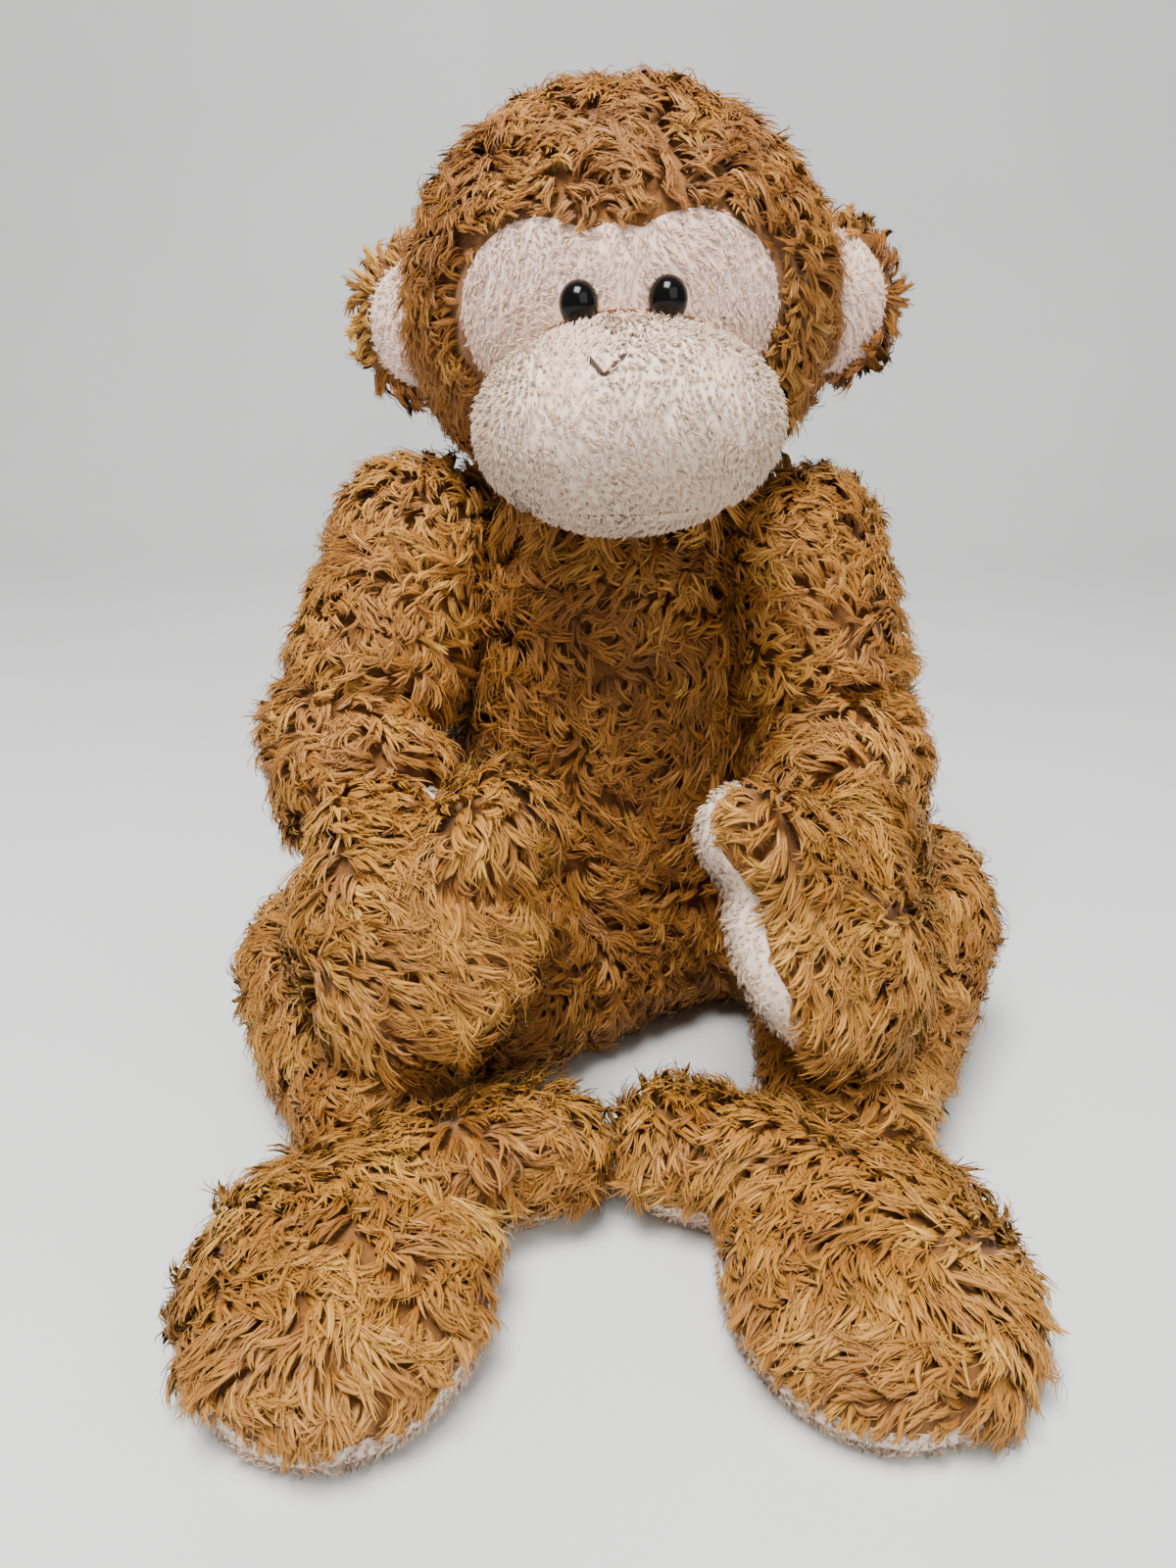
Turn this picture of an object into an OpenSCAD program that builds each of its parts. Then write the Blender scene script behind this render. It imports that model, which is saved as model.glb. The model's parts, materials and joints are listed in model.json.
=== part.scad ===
// Stuffed toy monkey, sitting with its legs out and its hands on its legs.
// Every cover is a closed cloth shell with its own filling. The monkey faces -Y, its left is +X,
// and the origin is the middle of the flat seat that it rests on.

/* [Cloth] */
// Thickness of the furry cloth with its pressed pile
cover_wall = 2.4; // [1.8:0.1:3]
// Thickness of the short-pile pink cloth
plush_wall = 1.8; // [1.4:0.1:2.4]
// Space between a cover and the filling inside it
fill_gap = 0.3; // [0.2:0.1:0.5]
// Space between two pieces sewn edge to edge
seam_gap = 0.25; // [0.2:0.05:0.4]
// Space between the round end of a limb and the hollow it turns in
joint_gap = 0.6; // [0.5:0.1:1]

/* [Head] */
// Centre of the head
head_centre = [1.5, -15, 176.5];
// Half sizes of the head: across, front to back, up and down
head_half = [44, 40, 41];
// Turn of the head to the monkey's right
head_turn = 3; // [0:1:8]
// Tilt of the head, the monkey's left side up
head_tilt = 3; // [0:1:6]
// Radius of each brow lobe of the face panel
brow_radius = 17; // [16:0.5:18]
// Distance of each brow lobe from the middle of the face
brow_spread = 15; // [12:0.5:16]
// Centre of the muzzle, from the middle of the head
muzzle_centre = [2.5, -43, -21.5];
// Half sizes of the muzzle
muzzle_half = [29.5, 24, 19.5];
// Height of the seam above the chin panel, from the middle of the head
chin_seam_z = -35; // [-37:0.5:-33]
// Distance of each eye from the middle between them
eye_spread = 8.5; // [8:0.1:10]
// Middle between the eyes, across and up from the middle of the face
eye_middle = [2.4, 1.4];
// Half sizes of the domed eye
eye_half = [3.3, 3, 3.8];
// Radius of the eye's ribbed stem
eye_stem_radius = 1.5; // [1.2:0.1:1.8]

/* [Ears] */
// Centre of the left ear, from the middle of the head
ear_centre = [45, 2, -1.5];
// Half sizes of the furry back of the ear
ear_back_half = [15, 6.5, 17];
// Half sizes of the pink front of the ear
ear_front_half = [12.8, 3.8, 14.6];
// Space between the head and the ear, for the ear to fold in
ear_space = 1.6; // [1.4:0.1:2.2]

/* [Neck] */
// Middle of the neck, where the head nods
neck_point = [1, -13, 136];
// Radius of the round neck
neck_radius = 17; // [16:0.5:18]
// Height where the neck sits on the body
neck_base_z = 128.8; // [128.6:0.1:129.5]

/* [Body] */
// Middle of the round belly
belly_point = [0, -1, 36];
// Radius of the belly
belly_radius = 39.5; // [38:0.5:40]
// Middle of the chest
chest_point = [0, -10, 106];
// Radius of the chest
chest_radius = 28; // [26:0.5:29]
// Height where the top of the body is flat under the neck
body_top_z = 128.2; // [127.6:0.1:128.2]
// Radius of the sewn-in seat panel
seat_radius = 18; // [15:0.5:18]
// Half sizes of the bag of plastic pellets
pellet_half = [20, 20, 9];
// Height of the middle of the pellet bag
pellet_z = 15.5; // [15:0.5:18]

/* [Arms] */
// Left arm: shoulder, elbow and wrist
left_arm = [[44, -15, 122], [54, -33, 79.5], [52, -56.5, 64]];
// Right arm: shoulder, elbow and wrist
right_arm = [[-45.5, -15, 124], [-60, -38, 82], [-48, -60, 66]];
// Radius of the arm at the shoulder, elbow and wrist
arm_radius = [17, 17, 14.5];

/* [Hands] */
// Middle of the left hand
left_hand = [44, -83.2, 58.2];
// Left hand's turns: tip forward, palm inward
left_hand_turn = [-30, 0, 42];
// Middle of the right hand
right_hand = [-40, -82, 56.5];
// Right hand's turns: tip forward, palm inward
right_hand_turn = [-34, 4, -12];
// Half sizes of the hand: across, thick, long
hand_half = [23.4, 11.8, 26.2];
// Thumb from the middle of the hand to its tip, on the inner side
thumb_span = [[-6.5, -1.4, 12], [-14.2, -3.2, 24]];
// Radius of the thumb at its root and its tip
thumb_radius = [10.5, 10];

/* [Legs] */
// Left leg: hip, knee and ankle
left_leg = [[50, -10, 30], [65, -36, 29.5], [50, -90, 13.5]];
// Right leg: hip, knee and ankle
right_leg = [[-24, -41, 22], [-60, -54, 23], [-49, -90, 13.5]];
// Radius of the left leg at the hip, knee and ankle
left_leg_radius = [26.5, 25, 13];
// Radius of the right leg at the hip, knee and ankle
right_leg_radius = [20.6, 22.2, 13];

/* [Feet] */
// Middle of the left foot, at the height of its widest edge
left_foot = [48, -126, 8];
// Middle of the right foot, at the height of its widest edge
right_foot = [-48, -131, 8];
// Half sizes of the foot: across, long, high
foot_half = [27.5, 36, 15];
// Outward turn of the left foot
left_foot_turn = 8; // [0:1:15]
// Outward turn of the right foot
right_foot_turn = 2; // [0:1:15]
// Left big toe from its root to its tip
left_toe = [[38, -108, 12], [15, -97, 12.5]];
// Right big toe from its root to its tip
right_toe = [[-38, -110, 12], [-15, -98, 12.5]];
// Radius of the big toe at its root and its tip
toe_radius = [12, 12.3];
// Height of the seam around the pink sole
sole_seam_z = 5; // [4:0.5:6]

/* [Hidden] */

$fn = 64;
ARC_STEPS = 9; // straight pieces in each round end of a limb
FAR = 400; // longer than the whole toy
RIM_DEPTH = 0.6; // how far short of a joint's centre a limb stops, as a part of its radius
ELBOW_RIM = 0.75; // how far short of the elbow the upper arm stops, as a part of its radius
KNEE_SPARE = 0.12; // further rim at a knee, as a part of its radius
ROOT_TAPER = 2; // how much narrower a leg's root starts inside the body
SIDE_SEAM_Y = 0; // the side seams of the body lie in this plane
PALM_SEAM_Y = 4; // seam around a hand, this far towards the palm from the middle
CUT_SPARE = 1; // how far a cut runs past the face that it opens
EYE_SEAT = 0.8; // flat back of the eye's dome, in front of the face
STEM_ENTRY = 0.4; // how far the stem runs into the dome
STEM_PLAY = 0.1; // space around the stem
STEM_LENGTH = 12; // eye stem behind the face
WASHER_DEPTH = 7; // back of the washer, behind the face
WASHER_RADIUS = 6;
WASHER_THICKNESS = 1.2;
THREAD_RADIUS = 0.6;
THREAD_TAPER = 0.98; // each stitch thins slightly towards its end
FACE_X = 1; // middle of the face panel, across
FACE_Z = 0.5; // height of the brow lobes' centres, from the middle of the head
BROW_DIP = 2; // how much lower the brow is in the middle
NOSE_LIFT = 1.0; // thread centre above the muzzle cloth
NOSE_POINTS = [[-3.4, -7.6], [-0.4, -11], [2.8, -8.2]]; // across and up, from the middle of the head
ROOT_START_LEFT = [10, -2, 27]; // where the left leg leaves the body
ROOT_START_RIGHT = [14, -13, 22]; // where the right leg leaves the body

FUR = [0.72, 0.46, 0.22];
PINK = [0.91, 0.79, 0.73];
FIBRE = [0.95, 0.95, 0.93];
BLACK = [0.03, 0.03, 0.03];
THREAD = [0.2, 0.1, 0.07];
WASHER_WHITE = [0.85, 0.85, 0.82];
PELLET_BLUE = [0.6, 0.66, 0.74];

// ---------- shapes ----------

// Puts +Z along the line from a to b
module along(a, b) {
    d = b - a;
    translate(a) rotate([0, acos(d.z / norm(d)), atan2(d.y, d.x)]) children();
}

function arc_point(r, angle, lift) = [r * cos(angle), lift + r * sin(angle)];

// Half outline of a tapered limb with round ends, its straight side tangent to both
function limb_outline(length, ra, rb) =
    let (tilt = asin((ra - rb) / length))
    concat(
        [[0, -ra]],
        [for (i = [1:ARC_STEPS]) arc_point(ra, -90 + i * (90 + tilt) / ARC_STEPS, 0)],
        [for (i = [0:ARC_STEPS - 1]) arc_point(rb, tilt + i * (90 - tilt) / ARC_STEPS, length)],
        [[0, length + rb]]
    );

// Tapered limb from a to b with round ends
module limb(a, b, ra, rb) {
    along(a, b) rotate_extrude() polygon(limb_outline(norm(b - a), ra, rb));
}

module ellipsoid(half) {
    scale(half) sphere(r = 1);
}

module ball(centre, r) {
    translate(centre) sphere(r = r);
}

// Everything beyond b on the line from a to b, starting short of b by depth
module beyond(a, b, depth) {
    along(a, b) translate([-FAR / 2, -FAR / 2, norm(b - a) - depth]) cube(FAR);
}

module below(z) {
    translate([-FAR / 2, -FAR / 2, z - FAR]) cube(FAR);
}

module above(z) {
    translate([-FAR / 2, -FAR / 2, z]) cube(FAR);
}

// Limb from a to b whose far end is hollowed for the round end of the next piece
module hollowed_limb(a, b, ra, rb, next_r, inset, rim = RIM_DEPTH) {
    difference() {
        limb(a, b, ra - inset, rb - inset);
        beyond(a, b, rb * rim + inset);
        ball(b, next_r + joint_gap + inset);
    }
}

function grown(half, amount) = [for (h = half) h + amount];

// ---------- head ----------

module in_head() {
    translate(head_centre) rotate([0, -head_tilt, 0]) rotate([0, 0, -head_turn]) children();
}

module neck_hollow(inset) {
    ball(neck_point, neck_radius + joint_gap + inset);
}

module muzzle_form(inset) {
    translate(muzzle_centre) ellipsoid(grown(muzzle_half, -inset));
}

// Region of the face panel, cut straight back into the head
module face_window(inset) {
    for (side = [-1, 0, 1])
        translate([FACE_X + side * brow_spread, 0, FACE_Z]) rotate([90, 0, 0])
            cylinder(r = brow_radius - inset - (side == 0 ? BROW_DIP : 0), h = FAR);
}

module eye_holes(r) {
    for (side = [-1, 1])
        translate([eye_middle.x + side * eye_spread, 0, eye_middle.y])
            rotate([90, 0, 0]) cylinder(r = r, h = FAR);
}

module head_cover() {
    color(FUR) difference() {
        in_head() difference() {
            ellipsoid(head_half);
            ellipsoid(grown(head_half, -cover_wall));
            face_window(0);
            muzzle_form(-seam_gap);
        }
        neck_hollow(0);
    }
}

module face_panel() {
    color(PINK) in_head() difference() {
        intersection() {
            ellipsoid(head_half);
            face_window(seam_gap);
        }
        ellipsoid(grown(head_half, -plush_wall));
        muzzle_form(-seam_gap);
        eye_holes(eye_stem_radius + STEM_PLAY);
    }
}

module muzzle_shell() {
    difference() {
        muzzle_form(0);
        muzzle_form(plush_wall);
        ellipsoid(grown(head_half, -cover_wall));
    }
}

module muzzle_cover() {
    color(PINK) in_head() difference() {
        muzzle_shell();
        below(chin_seam_z);
    }
}

module chin_panel() {
    color(PINK) in_head() difference() {
        muzzle_shell();
        above(chin_seam_z - seam_gap);
    }
}

// One filling fills the head and the muzzle; a pocket behind each eye takes its washer
module head_stuffing() {
    color(FIBRE) difference() {
        in_head() difference() {
            union() {
                ellipsoid(grown(head_half, -cover_wall - fill_gap));
                muzzle_form(plush_wall + fill_gap);
            }
            eye_holes(WASHER_RADIUS + fill_gap);
        }
        neck_hollow(cover_wall);
    }
}

// Depth of the face behind a point that is x across and z up
function face_y(x, z, wall) =
    let (h = grown(head_half, -wall))
    -h.y * sqrt(1 - pow(x / h.x, 2) - pow(z / h.z, 2));

module at_eye(side) {
    x = eye_middle.x + side * eye_spread;
    in_head() translate([x, face_y(x, eye_middle.y, 0), eye_middle.y])
        rotate([90, 0, 0]) children();
}

module eye(side) {
    color(BLACK) {
        at_eye(side) {
            difference() {
                translate([0, 0, EYE_SEAT]) ellipsoid([eye_half.x, eye_half.z, eye_half.y]);
                below(EYE_SEAT);
            }
            translate([0, 0, -STEM_LENGTH])
                cylinder(r = eye_stem_radius, h = STEM_LENGTH + EYE_SEAT + STEM_ENTRY);
        }
    }
}

module eye_washer(side) {
    color(WASHER_WHITE) at_eye(side) translate([0, 0, -WASHER_DEPTH]) difference() {
        cylinder(r = WASHER_RADIUS, h = WASHER_THICKNESS);
        translate([0, 0, -CUT_SPARE])
            cylinder(r = eye_stem_radius + STEM_PLAY, h = WASHER_THICKNESS + 2 * CUT_SPARE);
    }
}

function muzzle_y(p) =
    muzzle_centre.y - muzzle_half.y * sqrt(1
        - pow((p.x - muzzle_centre.x) / muzzle_half.x, 2)
        - pow((p.y - muzzle_centre.z) / muzzle_half.z, 2));

function nose_point(p) = [p.x, muzzle_y(p) - NOSE_LIFT, p.y + NOSE_LIFT];

module nose_stitch() {
    color(THREAD) in_head() for (i = [0, 1])
        limb(nose_point(NOSE_POINTS[i]), nose_point(NOSE_POINTS[i + 1]),
            THREAD_RADIUS, THREAD_RADIUS * THREAD_TAPER);
}

module ear_piece(side, half, front) {
    in_head() mirror([side < 0 ? 1 : 0, 0, 0]) difference() {
        translate(ear_centre) difference() {
            ellipsoid(half);
            if (front)
                translate([-FAR / 2, -seam_gap, -FAR / 2]) cube(FAR);
            else
                translate([-FAR / 2, -FAR, -FAR / 2]) cube(FAR);
        }
        ellipsoid(grown(head_half, ear_space));
    }
}

module ear_back(side) {
    color(FUR) ear_piece(side, ear_back_half, false);
}

module ear_front(side) {
    color(PINK) ear_piece(side, ear_front_half, true);
}

// ---------- neck and body ----------

module neck_form(inset) {
    difference() {
        ball(neck_point, neck_radius - inset);
        below(neck_base_z + inset);
    }
}

module neck_cover() {
    color(FUR) difference() {
        neck_form(0);
        neck_form(cover_wall);
    }
}

module neck_stuffing() {
    color(FIBRE) neck_form(cover_wall + fill_gap);
}

module leg_root(start, hip, r, inset) {
    difference() {
        limb(start, hip, r - ROOT_TAPER - inset, r - inset);
        beyond(start, hip, r * RIM_DEPTH + inset);
    }
}

// Pear-shaped body with the short roots that the legs are sewn to
module torso_form(inset) {
    difference() {
        union() {
            limb(belly_point, chest_point, belly_radius - inset, chest_radius - inset);
            leg_root(ROOT_START_LEFT, left_leg[0], left_leg_radius[0], inset);
            leg_root(ROOT_START_RIGHT, right_leg[0], right_leg_radius[0], inset);
        }
        below(inset);
        above(body_top_z - inset);
        for (arm = [left_arm, right_arm])
            ball(arm[0], arm_radius[0] + joint_gap + inset);
        ball(left_leg[0], left_leg_radius[0] + joint_gap + inset);
        ball(right_leg[0], right_leg_radius[0] + joint_gap + inset);
    }
}

module torso_shell() {
    difference() {
        torso_form(0);
        torso_form(cover_wall);
        translate([0, 0, -CUT_SPARE])
            cylinder(r = seat_radius + seam_gap, h = cover_wall + 2 * CUT_SPARE);
    }
}

module torso_front() {
    color(FUR) difference() {
        torso_shell();
        translate([-FAR / 2, SIDE_SEAM_Y - seam_gap / 2, -CUT_SPARE]) cube(FAR);
    }
}

module torso_back() {
    color(FUR) difference() {
        torso_shell();
        translate([-FAR / 2, SIDE_SEAM_Y + seam_gap / 2 - FAR, -CUT_SPARE]) cube(FAR);
    }
}

module seat_panel() {
    color(FUR) cylinder(r = seat_radius, h = cover_wall);
}

module pellet_form(grow) {
    translate([0, 0, pellet_z]) ellipsoid(grown(pellet_half, grow));
}

module torso_stuffing() {
    color(FIBRE) difference() {
        torso_form(cover_wall + fill_gap);
        pellet_form(fill_gap);
    }
}

module pellet_bag() {
    color(PELLET_BLUE) pellet_form(0);
}

// ---------- arms ----------

module upper_arm_form(arm, inset) {
    hollowed_limb(arm[0], arm[1], arm_radius[0], arm_radius[1], arm_radius[1], inset, ELBOW_RIM);
}

module forearm_form(arm, inset) {
    hollowed_limb(arm[1], arm[2], arm_radius[1], arm_radius[2], arm_radius[2], inset);
}

module upper_arm_cover(arm) {
    color(FUR) difference() {
        upper_arm_form(arm, 0);
        upper_arm_form(arm, cover_wall);
    }
}

module upper_arm_stuffing(arm) {
    color(FIBRE) upper_arm_form(arm, cover_wall + fill_gap);
}

module forearm_cover(arm) {
    color(FUR) difference() {
        forearm_form(arm, 0);
        forearm_form(arm, cover_wall);
    }
}

module forearm_stuffing(arm) {
    color(FIBRE) forearm_form(arm, cover_wall + fill_gap);
}

// Places a hand that is drawn upright, back towards -Y and thumb on the inner side of a left hand
module at_hand(side) {
    centre = side > 0 ? left_hand : right_hand;
    turn = side > 0 ? left_hand_turn : right_hand_turn;
    translate(centre) rotate([0, 0, turn.z]) rotate([turn.x, turn.y, 0])
        mirror([side < 0 ? 1 : 0, 0, 0]) children();
}

module hand_form(side, inset) {
    arm = side > 0 ? left_arm : right_arm;
    at_hand(side) {
        rotate([90, 0, 0]) ellipsoid(grown([hand_half.x, hand_half.z, hand_half.y], -inset));
        limb(thumb_span[0], thumb_span[1], thumb_radius[0] - inset, thumb_radius[1] - inset);
    }
    ball(arm[2], arm_radius[2] - inset);
}

module palm_side(side, y) {
    at_hand(side) translate([-FAR / 2, y, -FAR / 2]) cube(FAR);
}

module back_side(side, y) {
    at_hand(side) translate([-FAR / 2, y - FAR, -FAR / 2]) cube(FAR);
}

module hand_shell(side) {
    difference() {
        hand_form(side, 0);
        hand_form(side, cover_wall);
    }
}

module hand_back(side) {
    color(FUR) difference() {
        hand_shell(side);
        palm_side(side, PALM_SEAM_Y);
    }
}

module hand_palm(side) {
    color(PINK) difference() {
        hand_shell(side);
        back_side(side, PALM_SEAM_Y + seam_gap);
    }
}

module hand_stuffing(side) {
    color(FIBRE) hand_form(side, cover_wall + fill_gap);
}

// ---------- legs ----------

// The sharper a knee is bent at rest, the further short of it the thigh stops
function knee_rim(leg) =
    let (thigh = leg[1] - leg[0], shin = leg[2] - leg[1])
    tan(acos(thigh * shin / (norm(thigh) * norm(shin))) / 2) + KNEE_SPARE;

module thigh_form(leg, radii, inset) {
    hollowed_limb(leg[0], leg[1], radii[0], radii[1], radii[1], inset, knee_rim(leg));
}

module shin_form(leg, radii, inset) {
    limb(leg[1], leg[2], radii[1] - inset, radii[2] - inset);
}

module thigh_cover(leg, radii) {
    color(FUR) difference() {
        thigh_form(leg, radii, 0);
        thigh_form(leg, radii, cover_wall);
    }
}

module thigh_stuffing(leg, radii) {
    color(FIBRE) thigh_form(leg, radii, cover_wall + fill_gap);
}

module shin_cover(leg, radii) {
    color(FUR) difference() {
        shin_form(leg, radii, 0);
        shin_form(leg, radii, cover_wall);
    }
}

module shin_stuffing(leg, radii) {
    color(FIBRE) shin_form(leg, radii, cover_wall + fill_gap);
}

module foot_form(side, inset) {
    centre = side > 0 ? left_foot : right_foot;
    turn = side > 0 ? left_foot_turn : -right_foot_turn;
    toe = side > 0 ? left_toe : right_toe;
    leg = side > 0 ? left_leg : right_leg;
    ankle_r = side > 0 ? left_leg_radius[2] : right_leg_radius[2];
    difference() {
        union() {
            translate(centre) rotate([0, 0, turn]) ellipsoid(grown(foot_half, -inset));
            limb(toe[0], toe[1], toe_radius[0] - inset, toe_radius[1] - inset);
        }
        below(inset);
        ball(leg[2], ankle_r + joint_gap + inset);
    }
}

module foot_shell(side) {
    difference() {
        foot_form(side, 0);
        foot_form(side, cover_wall);
    }
}

module foot_top(side) {
    color(FUR) difference() {
        foot_shell(side);
        below(sole_seam_z + seam_gap);
    }
}

module foot_sole(side) {
    color(PINK) difference() {
        foot_shell(side);
        above(sole_seam_z);
    }
}

module foot_stuffing(side) {
    color(FIBRE) foot_form(side, cover_wall + fill_gap);
}

head_cover();
face_panel();
muzzle_cover();
chin_panel();
head_stuffing();
nose_stitch();
eye(1);  // eye_left
eye(-1);  // eye_right
eye_washer(1);  // eye_washer_left
eye_washer(-1);  // eye_washer_right
ear_back(1);  // ear_back_left
ear_front(1);  // ear_front_left
ear_back(-1);  // ear_back_right
ear_front(-1);  // ear_front_right
neck_cover();
neck_stuffing();
torso_front();
torso_back();
torso_stuffing();
seat_panel();
pellet_bag();
upper_arm_cover(left_arm);  // upper_arm_cover_left
upper_arm_stuffing(left_arm);  // upper_arm_stuffing_left
forearm_cover(left_arm);  // forearm_cover_left
forearm_stuffing(left_arm);  // forearm_stuffing_left
hand_back(1);  // hand_back_left
hand_palm(1);  // hand_palm_left
hand_stuffing(1);  // hand_stuffing_left
upper_arm_cover(right_arm);  // upper_arm_cover_right
upper_arm_stuffing(right_arm);  // upper_arm_stuffing_right
forearm_cover(right_arm);  // forearm_cover_right
forearm_stuffing(right_arm);  // forearm_stuffing_right
hand_back(-1);  // hand_back_right
hand_palm(-1);  // hand_palm_right
hand_stuffing(-1);  // hand_stuffing_right
thigh_cover(left_leg, left_leg_radius);  // thigh_cover_left
thigh_stuffing(left_leg, left_leg_radius);  // thigh_stuffing_left
shin_cover(left_leg, left_leg_radius);  // shin_cover_left
shin_stuffing(left_leg, left_leg_radius);  // shin_stuffing_left
foot_top(1);  // foot_top_left
foot_sole(1);  // foot_sole_left
foot_stuffing(1);  // foot_stuffing_left
thigh_cover(right_leg, right_leg_radius);  // thigh_cover_right
thigh_stuffing(right_leg, right_leg_radius);  // thigh_stuffing_right
shin_cover(right_leg, right_leg_radius);  // shin_cover_right
shin_stuffing(right_leg, right_leg_radius);  // shin_stuffing_right
foot_top(-1);  // foot_top_right
foot_sole(-1);  // foot_sole_right
foot_stuffing(-1);  // foot_stuffing_right
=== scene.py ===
"""Looks of a sitting plush monkey: padded skins, curly fur, short pink pile, domed eyes and stitches."""

import json
import math

import bmesh
import bpy
import numpy as np
from mathutils import Matrix, Vector
from mathutils.bvhtree import BVHTree

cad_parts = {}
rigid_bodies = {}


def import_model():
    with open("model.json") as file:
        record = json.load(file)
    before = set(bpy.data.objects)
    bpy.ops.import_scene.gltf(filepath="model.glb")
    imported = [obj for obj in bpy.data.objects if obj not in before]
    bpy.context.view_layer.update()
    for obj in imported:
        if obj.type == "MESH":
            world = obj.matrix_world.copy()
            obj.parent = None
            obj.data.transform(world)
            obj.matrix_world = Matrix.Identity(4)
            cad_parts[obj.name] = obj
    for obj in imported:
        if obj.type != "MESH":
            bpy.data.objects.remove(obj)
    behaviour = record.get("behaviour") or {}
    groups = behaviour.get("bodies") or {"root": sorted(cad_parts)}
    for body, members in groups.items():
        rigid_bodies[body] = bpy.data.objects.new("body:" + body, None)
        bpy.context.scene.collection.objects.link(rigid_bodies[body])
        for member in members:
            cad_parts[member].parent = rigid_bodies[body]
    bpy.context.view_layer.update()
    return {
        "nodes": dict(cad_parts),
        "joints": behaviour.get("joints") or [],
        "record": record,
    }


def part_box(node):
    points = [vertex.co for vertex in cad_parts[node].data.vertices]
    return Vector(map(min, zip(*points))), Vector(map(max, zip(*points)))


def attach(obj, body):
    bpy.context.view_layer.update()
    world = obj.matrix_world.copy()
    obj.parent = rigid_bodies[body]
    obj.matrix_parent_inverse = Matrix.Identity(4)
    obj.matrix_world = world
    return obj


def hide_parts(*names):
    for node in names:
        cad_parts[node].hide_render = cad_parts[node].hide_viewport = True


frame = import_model()

MM = 0.001
SIDES = ("left", "right")
UV_MAP = "OFBake"  # the strands' own map: tone across, root to tip along
SEED = 20
WELD = 1e-7
JOINT = {j["name"]: np.array(j["pos_m"]) for j in frame["joints"]}

# ---------- arrays and meshes ----------


def arrays_of(mesh):
    """Vertex positions and triangles of a mesh."""
    verts = np.empty(len(mesh.vertices) * 3, np.float32)
    mesh.vertices.foreach_get("co", verts)
    mesh.calc_loop_triangles()
    tris = np.empty(len(mesh.loop_triangles) * 3, np.int32)
    mesh.loop_triangles.foreach_get("vertices", tris)
    return verts.reshape(-1, 3).astype(float), tris.reshape(-1, 3)


def unit(v):
    return v / np.maximum(np.linalg.norm(v, axis=-1, keepdims=True), 1e-12)


def vertex_normals(verts, tris):
    a, b, c = (verts[tris[:, k]] for k in range(3))
    face = np.cross(b - a, c - a)
    out = np.zeros_like(verts)
    for k in range(3):
        np.add.at(out, tris[:, k], face)
    return unit(out)


def middle_of(verts):
    """The middle of the box around the points."""
    return (verts.min(0) + verts.max(0)) / 2

def build(name, verts, tris, material, uv=None, normals=None):
    """A smooth-shaded mesh object from arrays.

    uv holds one pair per triangle corner, normals one vector per point.
    """
    mesh = bpy.data.meshes.new(name)
    mesh.vertices.add(len(verts))
    mesh.vertices.foreach_set("co", np.asarray(verts, np.float32).ravel())
    mesh.loops.add(tris.size)
    mesh.loops.foreach_set("vertex_index", np.asarray(tris, np.int32).ravel())
    mesh.polygons.add(len(tris))
    mesh.polygons.foreach_set("loop_start", np.arange(0, tris.size, 3, dtype=np.int32))
    if uv is not None:
        layer = mesh.uv_layers.new(name=UV_MAP)
        layer.data.foreach_set("uv", np.asarray(uv, np.float32).ravel())
    mesh.update(calc_edges=True)
    mesh.validate()
    mesh.shade_smooth()
    if normals is not None:
        mesh.normals_split_custom_set_from_vertices(normals)
    mesh.materials.append(material)
    obj = bpy.data.objects.new(name, mesh)
    bpy.context.scene.collection.objects.link(obj)
    return obj


def result_of(obj):
    """The object's mesh with its modifiers applied."""
    graph = bpy.context.evaluated_depsgraph_get()
    graph.update()
    return bpy.data.meshes.new_from_object(obj.evaluated_get(graph))


def remove(obj):
    mesh = obj.data
    bpy.data.objects.remove(obj)
    bpy.data.meshes.remove(mesh)


def smooth_waves(points, seed, low, high, count=6):
    """Smooth noise from about -1 to 1, with wavelengths from low to high metres."""
    rng = np.random.default_rng(seed)
    out = np.zeros(len(points))
    for _ in range(count):
        k = unit(rng.normal(size=3)) * 2 * math.pi / rng.uniform(low, high)
        out += np.sin(points @ k + rng.uniform(0, 2 * math.pi))
    return out / math.sqrt(count / 2) * 0.7


# ---------- materials ----------


def material(name):
    """A new node material, with its node tree and Principled shader."""
    mat = bpy.data.materials.new(name)
    mat.use_nodes = True
    return mat, mat.node_tree, mat.node_tree.nodes["Principled BSDF"]


def node(tree, kind, **values):
    n = tree.nodes.new(kind)
    for key, value in values.items():
        if key in n.inputs:
            n.inputs[key].default_value = value
        else:
            setattr(n, key, value)
    return n


def ramp(tree, source, stops):
    """A colour ramp over source, with stops of (place, colour)."""
    n = tree.nodes.new("ShaderNodeValToRGB")
    elements = n.color_ramp.elements
    while len(elements) < len(stops):
        elements.new(0.5)
    for element, (place, colour) in zip(elements, stops, strict=True):
        element.position = place
        element.color = (*colour, 1)
    tree.links.new(source, n.inputs["Fac"])
    return n.outputs["Color"]


def grey(value):
    return (value, value, value)


def multiply(tree, a, b):
    n = node(tree, "ShaderNodeMix", data_type="RGBA", blend_type="MULTIPLY")
    n.inputs["Factor"].default_value = 1
    tree.links.new(a, n.inputs[6])
    tree.links.new(b, n.inputs[7])
    return n.outputs[2]


def bump(tree, shader, height, strength, distance):
    n = node(tree, "ShaderNodeBump", Strength=strength, Distance=distance)
    tree.links.new(height, n.inputs["Height"])
    tree.links.new(n.outputs["Normal"], shader.inputs["Normal"])


FIBRE_STRETCH = (420, 2.6, 1)  # how fine the fibres of a strand are across and along its map
FIBRE_SHADE = (0.80, 0.74, 0.66)
GLOSS_TINT = (1.0, 0.86, 0.62)
FIBRE_RELIEF = 0.2 * MM

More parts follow.
